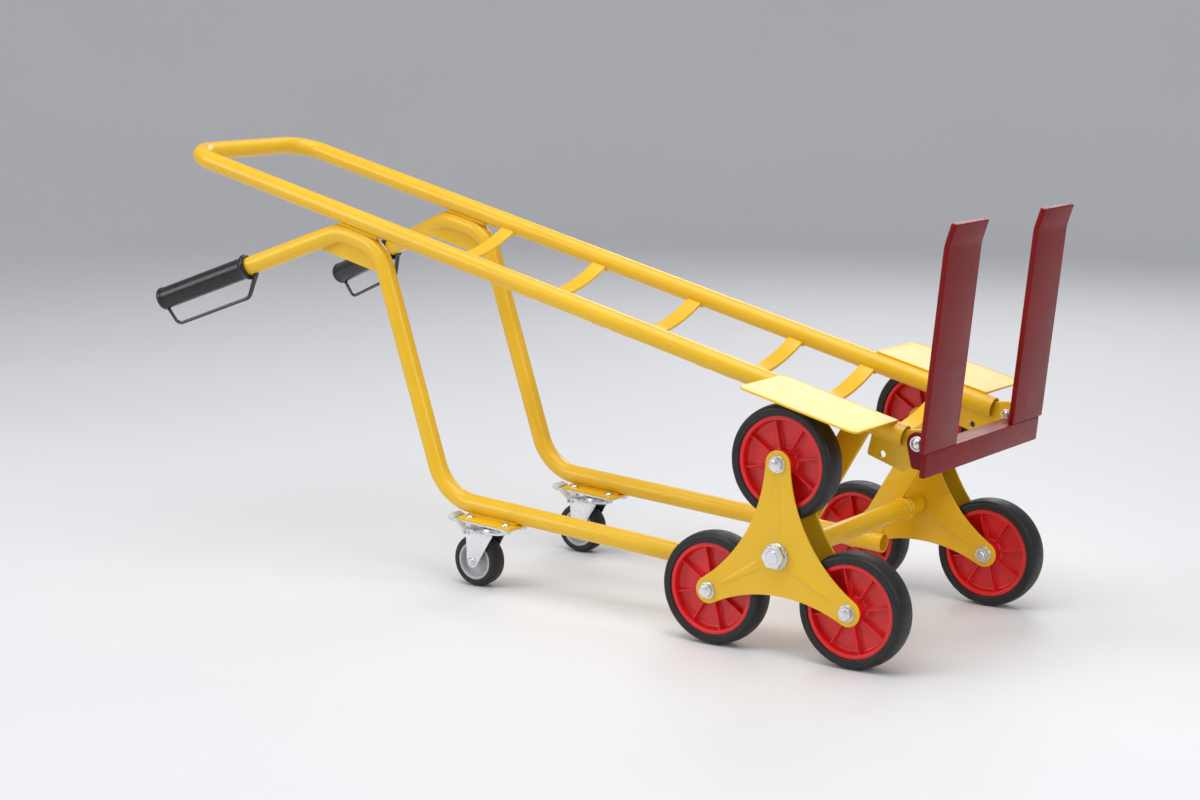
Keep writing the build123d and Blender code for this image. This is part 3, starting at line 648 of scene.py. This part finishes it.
face = starOuter + 0.4
nuts = [washer(0, 0, face, face + 2.6, 18.5, 9.0), hexHead(0, 0, face + 2.6, face + 12.0, 30.0, 14.0)]
nuts = moved(nuts, onFrame)
makePiece("axleNuts", nuts + mirrored(nuts), "frame", zinc, ["axle_nuts"])
axle = [shank(0, 0, -178.0, 178.0, 10.0), threaded(0, 0, 177.0, starOuter + 14, 9.9), threaded(0, 0, -starOuter - 14, -177.0, 9.9)]
makePiece("starAxle", moved(axle, onFrame), "frame", zinc, ["main_axle"])
print("stars made")

# ---- wheels ----

rimSettings = {"ribs": 8, "ribTurn": 12.0, "ribHeight": 11.5, "ribHalf": 1.5, "hub": 17.0, "lip": 59.0}

hubHalf = (starOuter - starSettings["inner"]) / 2 - starSettings["thick"] - 0.4
rimSide = [(6.1, hubHalf - 0.6), (7.0, hubHalf), (15.6, hubHalf), (16.6, hubHalf - 0.4), (17.0, hubHalf - 1.4), (17.3, 9.0), (17.9, 5.4),
           (19.4, 3.9), (22.0, 3.5), (28.0, 3.5), (36.0, 3.5), (44.0, 3.5), (51.0, 3.5), (55.0, 3.8), (57.2, 5.0), (58.2, 7.5),
           (58.6, 11.5), (58.8, 15.0), (59.3, 16.1), (60.2, 16.5), (64.0, 16.5), (64.8, 16.2), (65.0, 15.4)]
rimProfile = np.vstack([np.array(rimSide)[::-1] * [1, 1], np.array(rimSide) * [1, -1]])
u = np.linspace(-1, 1, 30, endpoint=False)
sector = np.radians(22.5 * (0.3 * u + 0.7 * u**3))
rimAngles = (np.radians(np.arange(rimSettings["ribs"]) * 45.0)[:, None] + sector[None]).ravel()


def ribbed(r, along, a):
    # between hub and lip the web rises to the rib height where r * sin(angle to the rib) is small
    off = (a + np.pi / 8) % (np.pi / 4) - np.pi / 8
    across = np.abs(r * np.sin(off))
    crest = np.clip((rimSettings["ribHalf"] + 0.5 - across) / 0.9, 0, 1)
    crest = crest**2 * (3 - 2 * crest)
    inside = (r > rimSettings["hub"] + 0.2) & (r < rimSettings["lip"] - 0.3)
    height = np.sign(along) * np.maximum(np.abs(along), rimSettings["ribHeight"])
    return np.where(inside, along + (height - along) * crest, along)


shoulder = [(65.0, 16.9), (65.6, 18.0), (67.0, 18.6), (68.2, 18.7), (69.0, 18.4), (70.0, 18.5), (71.6, 19.0), (73.4, 18.9), (75.2, 18.2),
            (76.8, 16.8), (77.9, 14.8), (78.6, 12.0), (79.3, 8.0), (79.8, 4.0), (80.0, 0.0)]
shoulder = np.array(shoulder)
tyreProfile = np.vstack([shoulder * [1, -1], shoulder[-2::-1]])


def wheelSurfaces(number):
    x, z = armTip(number)
    rim = turned(rimProfile, (x, wheelSide, z), angles=rimAngles + np.radians(rimSettings["ribTurn"]), closed=True,
                 shape=lambda r, along, a: ribbed(r, along, a - np.radians(rimSettings["ribTurn"])))
    tyre = turned(tyreProfile, (x, wheelSide, z), 128, closed=True)
    return [rim], [tyre]


for number in (1, 2, 3):
    rim, tyre = wheelSurfaces(number)
    for sideName, bodySide in (("Left", "left"), ("Right", "right")):
        body = "wheel_%d_%s" % (number, bodySide)
        flip = mirrored if bodySide == "right" else (lambda surfaces: surfaces)
        makePiece("wheelRim%d%s" % (number, sideName), flip(rim), body, redRim, ["wheel_rim_%d_%s" % (number, bodySide)], 50)
        makePiece("wheelTyre%d%s" % (number, sideName), flip(tyre), body, tyreRubber, ["tyre_%d_%s" % (number, bodySide)])
print("wheels made")

# ---- lifting fork ----

forkSettings = {
    "inner": 87.0, "outer": 183.0, "face": 22.0, "thick": 8.0, "foot": -3.0, "bend": 274.0, "tip": 305.0, "kick": 12.0,
    "barFoot": -37.0, "barHalf": 174.0, "flangeReach": 20.0, "flangeThick": 6.0, "flangeHalf": 118.0, "earInner": 139.0, "earThick": 6.0,
    "ear": [(0.0, 0.0, 16.0), (-1.0, -30.0, 5.0), (20.0, -33.0, 2.0), (20.0, 14.0, 2.0)],
}
middleX = forkSettings["face"] + forkSettings["thick"] / 2
tineMiddle = (forkSettings["inner"] + forkSettings["outer"]) / 2
tineWidth = forkSettings["outer"] - forkSettings["inner"]
lean = np.tan(np.radians(forkSettings["kick"])) * (forkSettings["tip"] - forkSettings["bend"])
tinePath = bentPath([(middleX, tineMiddle, forkSettings["foot"]), (middleX, tineMiddle, forkSettings["bend"]),
                     (middleX + lean, tineMiddle, forkSettings["tip"])], 60.0, 1.5)
tine = [carry(roundedBox(forkSettings["thick"], tineWidth, 1.3), tinePath, (0, 1, 0), 1.3)]
tine = moved(tine, onFork)
makePiece("tineLeft", tine, "lifting_fork", darkRed, ["tine_left"])
makePiece("tineRight", mirrored(tine), "lifting_fork", darkRed, ["tine_right"])

barMiddle = (forkSettings["barFoot"] + forkSettings["foot"]) / 2
barHeight = forkSettings["foot"] - forkSettings["barFoot"]
barPath = np.array([(middleX, -forkSettings["barHalf"], barMiddle), (middleX, 0, barMiddle), (middleX, forkSettings["barHalf"], barMiddle)])
bar = [carry(roundedBox(barHeight, forkSettings["thick"], 1.3), barPath, (1, 0, 0), 1.3)]
# the bar's top flange runs back from its face between the ears
flangeX = forkSettings["face"] - forkSettings["flangeReach"] / 2 + 1.0
flangeZ = forkSettings["foot"] - forkSettings["flangeThick"] / 2
flangePath = np.array([(flangeX, y, flangeZ) for y in (-forkSettings["flangeHalf"], 0, forkSettings["flangeHalf"])])
bar.append(carry(roundedBox(forkSettings["flangeThick"], forkSettings["flangeReach"] + 2.0, 1.2), flangePath, (1, 0, 0), 1.2))
points, closeRows, closeCols = plate(hullOfDiscs(forkSettings["ear"]), (8, -10), forkSettings["earInner"],
                                     forkSettings["earInner"] + forkSettings["earThick"], 1.2)
ear = [(sidePlaced(points), closeRows, closeCols)]
ear.append(weldBead([(middleX - 5.0, 139.0 + 7.2, -34), (middleX - 5.0, 139.0 + 7.2, 10)], 2.4))
ear.append(weldBead([(middleX - 5.0, 139.0 - 1.2, -34), (middleX - 5.0, 139.0 - 1.2, 10)], 2.4))
seam = [weldBead([(middleX - 4.6, forkSettings["inner"] + 3, forkSettings["foot"]), (middleX - 4.6, 136.0, forkSettings["foot"])], 2.2),
        weldBead([(middleX - 4.6, 149.0, forkSettings["foot"]), (middleX - 4.6, 171.0, forkSettings["foot"])], 2.2)]
crossbar = moved(bar + ear + mirrored(ear) + seam + mirrored(seam), onFork)
makePiece("forkCrossbar", crossbar, "lifting_fork", darkRed, ["fork_crossbar"])

pivotX, pivotZ = plateSettings["bracket"][0][:2]
earFace = forkSettings["earInner"] + forkSettings["earThick"]
bracketFace = side - plateSettings["bracketThick"] / 2
pivotBolt = [shank(pivotX, pivotZ, bracketFace - 9, earFace + 1, 4.95), washer(pivotX, pivotZ, earFace + 0.3, earFace + 1.8, 10.5),
             dome(pivotX, pivotZ, earFace + 1.8, earFace + 6.8, 8.0), hexHead(pivotX, pivotZ, bracketFace - 7, bracketFace, 15.0, 8.0),
             washer(pivotX, pivotZ, side + 3, forkSettings["earInner"] - 0.3, 9.0)]
pivotBolt = moved(pivotBolt, onFrame)
makePiece("pivotBolts", pivotBolt + mirrored(pivotBolt), "frame", zinc, ["fork_pivot_bolts"])
print("fork made")

# ---- grips ----

gripSettings = {"length": 172.0, "radius": 17.5, "wall": 4.0, "guardReach": 47.0, "wire": 2.75}
handleLine = (handleEnd - handleFoot) / np.linalg.norm(handleEnd - handleFoot)
handleBelow = np.cross(handleLine, (0, 1, 0))
handleBelow /= np.linalg.norm(handleBelow)
handleBelow = handleBelow * (-1 if handleBelow[2] > 0 else 1)


def onHandle(along, reach):
    return handleEnd + handleLine * along + handleBelow * reach


# sleeve: (distance from the outer end, radius), with a rolled rim at each end and faint rings between
length, radius, wall = gripSettings["length"], gripSettings["radius"], gripSettings["wall"]
s = np.linspace(14.0, length - 12.0, 141)
rings = radius + 0.08 * np.cos(2 * np.pi * (s - 14.0) / 7.3) * np.clip(np.minimum(s - 14.0, length - 12.0 - s) / 8.0, 0, 1)
gripProfile = np.vstack([
    [(0, 0), (9, 0), (13.5, 0.4), (16.6, 1.6), (18.2, 3.6), (18.8, 6.0), (18.4, 8.6), (17.8, 11.0)],
    np.column_stack([rings, s]),
    [(17.8, length - 10), (18.8, length - 8), (20.4, length - 6.4), (21.0, length - 4.4), (20.8, length - 2.0), (19.6, length - 0.5),
     (17.5, length), (15.2, length), (14.6, length - 1.5), (14.6, wall), (0, wall)],
])
a = np.linspace(0, 2 * np.pi, 56, endpoint=False)
gripAcross = np.cross(handleLine, handleBelow)
endPoint = handleEnd + handleLine * wall
gripPoints = (endPoint - handleLine * gripProfile[:, None, 1:2]
              + gripProfile[:, None, 0:1] * (handleBelow * np.cos(a)[None, :, None] + gripAcross * np.sin(a)[None, :, None]))
grip = moved([(gripPoints, False, True)], onFrame)
makePiece("gripLeft", grip, "frame", gripRubber, ["grip_left"])
makePiece("gripRight", mirrored(grip), "frame", gripRubber, ["grip_right"])

# hand guard: a wire loop that thickens into a flat strap at its inner leg
reach = gripSettings["guardReach"]
guardCorners = [onHandle(-length - 6, tubeRadius - 1.5), onHandle(-length + 20, reach), onHandle(-14, reach), onHandle(-4, radius - 1.5)]
guardPath = bentPath(guardCorners, 12.0, 6.0)
step = np.linalg.norm(np.diff(guardPath, axis=0), axis=1)
walked = np.concatenate([[0], np.cumsum(step)])
fine = np.linspace(0, walked[-1], 90)
guardFine = np.stack([np.interp(fine, walked, guardPath[:, k]) for k in range(3)], -1)
grow = 1 + 0.55 * np.clip(1 - fine / 60.0, 0, 1)
handGuard = [carry(circle(gripSettings["wire"], 20), guardFine, (0, 1, 0), 0.3, grow=grow)]
handGuard = moved(handGuard, onFrame)
makePiece("handGuardLeft", handGuard, "frame", blackWire, ["hand_guard_left"])
makePiece("handGuardRight", mirrored(handGuard), "frame", blackWire, ["hand_guard_right"])
print("grips made")

# ---- casters ----

casterSettings = {
    "top": 104.8, "plate": 3.0, "pad": 4.0, "padSize": (100.0, 66.0), "boltX": 33.7, "boltY": 21.0, "legGap": 33.0, "leg": 2.5,
    "raceway": 96.8, "radius": 40.0, "trail": 28.0, "crown": 88.8, "pedal": (-38.0, 83.5),
}
cy = casterAxle[1]
casterTop = casterSettings["top"]
runSlope = np.arctan2(lowerSettings["runEnd"][1] - lowerSettings["legFoot"][1], lowerSettings["runEnd"][0] - lowerSettings["legFoot"][0])
casterLean = np.radians(stance["tilt"]) - runSlope


def onCaster(points):
    # drawn about the swivel axis, above the foot of the wheel; leaned about the wheel's axle with the lower tube
    x, y, z = points[..., 0] + casterSettings["trail"], points[..., 1], points[..., 2] - casterSettings["radius"]
    leaned = np.stack([x * np.cos(casterLean) + z * np.sin(casterLean), y, z * np.cos(casterLean) - x * np.sin(casterLean)], -1)
    return leaned + np.array(casterAxle)


def levelPlate(size, corner, low, high, edge=0.7):
    w, h = size[0] / 2 - corner, size[1] / 2 - corner
    outline = hullOfDiscs([(i * w, j * h, corner) for i in (-1, 1) for j in (-1, 1)])
    points, closeRows, closeCols = plate(outline, (0, 0), low, high, edge)
    return points, closeRows, closeCols


def upright(surface, x, y):  # a shape turned about y, stood up to turn about z
    points, closeRows, closeCols = surface
    return np.stack([points[..., 0] + x, points[..., 2] + y, points[..., 1]], -1), closeRows, closeCols


pad = [levelPlate(casterSettings["padSize"], 6.0, casterTop, casterTop + casterSettings["pad"])]
cradle = np.array([(x, 0, casterTop + 6.0) for x in (-46, 0, 46)])
pad.append(carry(roundedBox(18.0, 4.0, 1.2), cradle, (0, 0, 1), 1.0))
for s in (-1, 1):
    pad.append(weldBead([(-44, s * 9.5, casterTop + 4.6), (44, s * 9.5, casterTop + 4.6)], 2.4, (0, 0, 1)))
pad = moved(pad, onCaster)
makePiece("casterPads", pad + mirrored(pad), "frame", yellow, ["caster_pads"])

low = casterTop - casterSettings["plate"]
race = casterSettings["raceway"]
raceway = [(6.05, race), (18.0, race), (19.0, race + 1), (19.4, low + 0.2), (6.05, low + 0.2)]
topPlate = moved([levelPlate((92.0, 62.0), 6.0, low, casterTop), upright(turned(raceway, (0, 0, 0), 56, closed=True), 0, 0)], onCaster)
makePiece("casterTopPlates", topPlate + mirrored(topPlate), "frame", zinc, ["caster_top_plates"])

bolts = []
for i in (-1, 1):
    for j in (-1, 1):
        x, y = i * casterSettings["boltX"], j * casterSettings["boltY"]
        head = casterTop + casterSettings["pad"]
        bolts.append(upright(dome(0, 0, head, head + 4.5, 7.0), x, y))
        bolts.append(upright(shank(0, 0, low - 7, head + 1, 3.9), x, y))
        bolts.append(upright(hexHead(0, 0, low - 6, low, 13.0, 20.0 * i + 10 * j), x, y))
bolts = moved(bolts, onCaster)
makePiece("casterBolts", bolts + mirrored(bolts), "frame", zinc, ["caster_bolts"])

axleX, axleZ = -casterSettings["trail"], casterSettings["radius"]
pedalX, pedalZ = casterSettings["pedal"]
gap, leg, crown = casterSettings["legGap"] / 2, casterSettings["leg"], casterSettings["crown"]
legDiscs = [(axleX, axleZ, 10.0), (4.0, crown - 3.0, 3.0), (pedalX, pedalZ, 5.0)]


def forkLeg(inner):
    points, closeRows, closeCols = plate(hullOfDiscs(legDiscs), (-20, 66.0), inner, inner + leg, 0.7)
    return sidePlaced(points), closeRows, closeCols


crownPath = np.array([(x, 0, crown - 1.25) for x in (-29, -12, 5)])
housing = [(0, crown - 1), (21.0, crown - 1), (23.4, crown), (24.0, crown + 2.2), (23.6, crown + 5.0), (22.4, crown + 7.0),
           (20.8, race - 0.4), (0, race - 0.4)]
casterFork = [forkLeg(gap), forkLeg(-gap - leg), carry(roundedBox(2 * (gap + leg), 2.5, 0.8), crownPath, (0, 0, 1), 0.8),
              upright(turned(housing, (0, 0, 0), 64), 0, 0)]
axleBolt = [shank(axleX, axleZ, -gap - leg - 5, gap + leg, 3.9), dome(axleX, axleZ, gap + leg, gap + leg + 5, 6.5),
            hexHead(axleX, axleZ, -gap - leg - 5, -gap - leg, 13.0, 40.0)]
hub = [(4.05, 15.7), (4.6, 16.0), (8.4, 16.0), (9.0, 15.2), (9.4, 6.0), (10.6, 4.3), (13.0, 4.0), (22.5, 4.0), (24.2, 4.8), (24.9, 7.0),
       (25.2, 12.8), (25.8, 13.5), (29.0, 13.5)]
hub = np.array(hub)
hubProfile = np.vstack([hub[::-1], hub * [1, -1]])
tread = np.array([(29.0, 14.0), (30.0, 14.5), (35.0, 14.5), (37.0, 13.6), (38.6, 11.6), (39.5, 8.4), (39.95, 4.2), (40.0, 0.0)])
treadProfile = np.vstack([tread * [1, -1], tread[-2::-1]])
casterHub = [turned(hubProfile, (axleX, 0, axleZ), 64, closed=True)]
casterTyre = [turned(treadProfile, (axleX, 0, axleZ), 96, closed=True)]

# pedal: a bent strip whose foot is the shoe over the wheel and whose tip is pressed by a toe
pedalPath = bentPath([(pedalX + 1.0, 0, pedalZ), (pedalX - 16.0, 0, pedalZ + 3.0), (pedalX - 30.0, 0, pedalZ + 12.6),
                      (pedalX - 43.0, 0, pedalZ + 16.8)], 6.0, 8.0)
shoePath = np.array([(pedalX - 12.8, 0, pedalZ + y) for y in (-5.6, -1.5, 2.6)])
pedalWidth = 2 * gap - 5.0
pedal = [carry(roundedBox(4.0, pedalWidth, 1.3), pedalPath, (0, 1, 0), 1.3),
         carry(roundedBox(4.0, pedalWidth, 1.0), shoePath, (0, 1, 0), 1.0),
         shank(pedalX, pedalZ, -gap - leg - 2, gap + leg + 2, 2.5), shank(pedalX, pedalZ, -gap + 2.5, gap - 2.5, 3.4)]
# a rounded toe cap closes the tip
capPath = np.array([(pedalX - 44.5, 0, pedalZ + 17.3), (pedalX - 33.0, 0, pedalZ + 13.8)])
pedal.append(carry(roundedBox(9.0, pedalWidth + 1.0, 3.0), capPath, (0, 1, 0), 2.5))
casterFork, axleBolt, casterHub, casterTyre, pedal = (
    moved(surfaces, onCaster) for surfaces in (casterFork, axleBolt, casterHub, casterTyre, pedal))

for sideName, bodySide in (("Left", "left"), ("Right", "right")):
    flip = mirrored if bodySide == "right" else (lambda surfaces: surfaces)
    makePiece("casterFork" + sideName, flip(casterFork), "caster_" + bodySide, zinc, ["caster_fork_" + bodySide])
    makePiece("casterAxle" + sideName, flip(axleBolt), "caster_" + bodySide, zinc, ["caster_axle_bolt_" + bodySide])
    makePiece("casterHub" + sideName, flip(casterHub), "caster_wheel_" + bodySide, greyNylon, ["caster_hub_" + bodySide])
    makePiece("casterTyre" + sideName, flip(casterTyre), "caster_wheel_" + bodySide, tyreRubber, ["caster_tyre_" + bodySide])
    makePiece("brakePedal" + sideName, flip(pedal), "brake_" + bodySide, palePedal, ["brake_pedal_" + bodySide])
print("casters made")

# the sleeves inside the stars keep their turned shape and take the zinc
for name in ("star_hub_left", "star_hub_right"):
    node = frame["nodes"][name]
    node.data.materials.clear()
    node.data.materials.append(zinc)

# ---- stage, light and camera ----

stageSettings = {"radius": 7.5, "curve": 2.5, "height": 5.0, "grey": 0.78}
flat = np.linspace(0, stageSettings["radius"] - stageSettings["curve"], 6)
a = np.linspace(0, np.pi / 2, 24)[1:]
flatRadius = stageSettings["radius"] - stageSettings["curve"]
bowlR = np.concatenate([flat, flatRadius + stageSettings["curve"] * np.sin(a), [stageSettings["radius"]]])
bowlZ = np.concatenate([np.zeros(6), stageSettings["curve"] * (1 - np.cos(a)), [stageSettings["height"]]])
b = np.linspace(0, 2 * np.pi, 128, endpoint=False)
bowl = np.stack([bowlR[:, None] * np.cos(b), bowlR[:, None] * np.sin(b), np.repeat(bowlZ[:, None], 128, 1)], -1)
floorMesh = bpy.data.meshes.new("studioFloor")
floorMesh.from_pydata(bowl.reshape(-1, 3).tolist(), [], gridFaces(len(bowlR), 128, False, True)[:, ::-1].tolist())
floorMesh.polygons.foreach_set("use_smooth", np.ones(len(floorMesh.polygons), bool))
floorMaterial, nodes, links, shader, coords = newMaterial("paleFloor")
mottle = noiseField(nodes, links, coords, 1.5, 3.0, 0.5)
g = stageSettings["grey"]
links.new(ramp(nodes, links, mottle.outputs["Fac"], [(0.3, (g * 0.98, g * 0.98, g)), (0.7, (g, g, g * 1.01))]).outputs["Color"],
          shader.inputs["Base Color"])
shader.inputs["Roughness"].default_value = 0.55
floorMesh.materials.append(floorMaterial)
floor = bpy.data.objects.new("studioFloor", floorMesh)
bpy.context.scene.collection.objects.link(floor)

world = bpy.data.worlds.new("studioWorld")
bpy.context.scene.world = world
world.use_nodes = True
world.node_tree.nodes["Background"].inputs["Color"].default_value = (0.92, 0.95, 1.0, 1)
world.node_tree.nodes["Background"].inputs["Strength"].default_value = 0.45

lightSettings = [
    {"name": "overheadBox", "place": (0.3, -0.6, 3.2), "aim": (0.0, 0.0, 0.2), "size": 2.6, "power": 70.0},
    {"name": "frontLeftBox", "place": (-2.4, -3.0, 1.9), "aim": (0.0, 0.0, 0.3), "size": 1.8, "power": 44.0},
    {"name": "rightBox", "place": (3.4, -1.2, 1.7), "aim": (0.2, 0.0, 0.3), "size": 1.4, "power": 25.0},
    {"name": "backBox", "place": (-0.8, 3.2, 2.3), "aim": (0.0, 0.0, 0.3), "size": 1.6, "power": 29.0},
]
for light in lightSettings:
    data = bpy.data.lights.new(light["name"], "AREA")
    data.shape = "SQUARE"
    data.size = light["size"]
    data.energy = light["power"]
    lamp = bpy.data.objects.new(light["name"], data)
    lamp.location = light["place"]
    lamp.rotation_mode = "QUATERNION"
    lamp.rotation_quaternion = (Vector(light["aim"]) - Vector(light["place"])).to_track_quat("-Z", "Y")
    bpy.context.scene.collection.objects.link(lamp)

cameraSettings = {"fromAxle": (1592.2, -2919.8, 894.7), "azimuth": 26.44, "pitch": 5.33, "lens": 71.0, "aimRight": -8.55, "aimDown": 4.45}
turn = np.radians(cameraSettings["azimuth"] - cameraSettings["aimRight"])
down = np.radians(cameraSettings["pitch"] + cameraSettings["aimDown"])
look = Vector((-np.sin(turn) * np.cos(down), np.cos(turn) * np.cos(down), -np.sin(down)))
cameraData = bpy.data.cameras.new("studioCamera")
cameraData.sensor_width = 36.0
cameraData.lens = cameraSettings["lens"]
cameraData.clip_start, cameraData.clip_end = 0.05, 60.0
camera = bpy.data.objects.new("studioCamera", cameraData)
camera.location = Vector(cameraSettings["fromAxle"]) * 0.001 + Vector((starPlace[0] * 0.001, 0, 0))
camera.rotation_mode = "QUATERNION"
camera.rotation_quaternion = look.to_track_quat("-Z", "Y")
bpy.context.scene.collection.objects.link(camera)
bpy.context.scene.camera = camera
bpy.context.scene.view_settings.view_transform = "Standard"
print("stage, lights and camera made")
